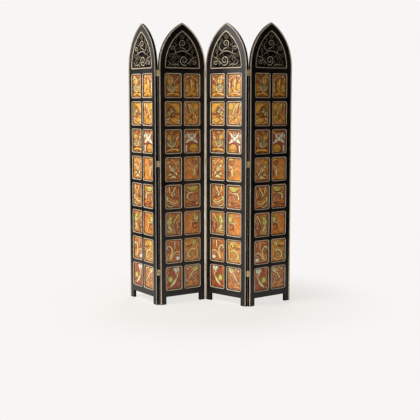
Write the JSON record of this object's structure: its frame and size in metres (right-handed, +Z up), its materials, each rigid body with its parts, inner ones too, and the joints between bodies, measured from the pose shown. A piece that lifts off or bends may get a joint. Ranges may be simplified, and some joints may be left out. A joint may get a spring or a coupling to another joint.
{
  "type": "folding screen",
  "caption": "Free-standing folding screen of hinged black panels with pointed carved heads and rows of framed relief tiles, standing in a zigzag.",
  "frame": {"origin": "on the floor, at the middle of the bounding box seen from above", "axes": "+X to the right across the screen, +Y from the decorated front to the back, +Z up"},
  "size_m": [1.0796, 0.3476, 1.83],
  "materials": {
    "black_wood": "ebonised wood under satin black lacquer, slightly rubbed at the edges",
    "cream_paint": "wood moulding in aged cream paint",
    "tile_paint": "carved relief in amber and rust with green and cream highlights",
    "brass": "aged brass"
  },
  "bodies": {
    "panel_1": {"left_stile_1": "black_wood", "right_stile_1": "black_wood", "arch_left_1": "black_wood", "arch_right_1": "black_wood", "bottom_rail_1": "black_wood", "cross_rails_1": "black_wood", "mullions_1": "black_wood", "lunette_1": "black_wood", "tiles_1": "tile_paint", "tile_frames_1": "cream_paint", "edge_bead_1": "cream_paint", "hinge_leaves_1a": "brass", "hinge_pins_1": "brass", "hinge_screws_1a": "brass"},
    "panel_2": {"left_stile_2": "black_wood", "right_stile_2": "black_wood", "arch_left_2": "black_wood", "arch_right_2": "black_wood", "bottom_rail_2": "black_wood", "cross_rails_2": "black_wood", "mullions_2": "black_wood", "lunette_2": "black_wood", "tiles_2": "tile_paint", "tile_frames_2": "cream_paint", "edge_bead_2": "cream_paint", "hinge_leaves_1b": "brass", "hinge_screws_1b": "brass", "hinge_leaves_2a": "brass", "hinge_pins_2": "brass", "hinge_screws_2a": "brass"},
    "panel_3": {"left_stile_3": "black_wood", "right_stile_3": "black_wood", "arch_left_3": "black_wood", "arch_right_3": "black_wood", "bottom_rail_3": "black_wood", "cross_rails_3": "black_wood", "mullions_3": "black_wood", "lunette_3": "black_wood", "tiles_3": "tile_paint", "tile_frames_3": "cream_paint", "edge_bead_3": "cream_paint", "hinge_leaves_2b": "brass", "hinge_screws_2b": "brass", "hinge_leaves_3a": "brass", "hinge_pins_3": "brass", "hinge_screws_3a": "brass"},
    "panel_4": {"left_stile_4": "black_wood", "right_stile_4": "black_wood", "arch_left_4": "black_wood", "arch_right_4": "black_wood", "bottom_rail_4": "black_wood", "cross_rails_4": "black_wood", "mullions_4": "black_wood", "lunette_4": "black_wood", "tiles_4": "tile_paint", "tile_frames_4": "cream_paint", "edge_bead_4": "cream_paint", "hinge_leaves_3b": "brass", "hinge_screws_3b": "brass"}
  },
  "joints": [
    {"name": "fold_1", "type": "hinge", "parent": "panel_2", "child": "panel_1", "pos_m": [-0.32877, -0.11643, 0.9], "axis": [0, 0, 1], "range_deg": [-90.5, 89.5]},
    {"name": "fold_2", "type": "hinge", "parent": "panel_2", "child": "panel_3", "pos_m": [-0.02515, 0.06006, 0.9], "axis": [0, 0, 1], "range_deg": [-104.5, 75.5]},
    {"name": "fold_3", "type": "hinge", "parent": "panel_3", "child": "panel_4", "pos_m": [0.24905, -0.15937, 0.9], "axis": [0, 0, 1], "range_deg": [-79, 101]}
  ]
}
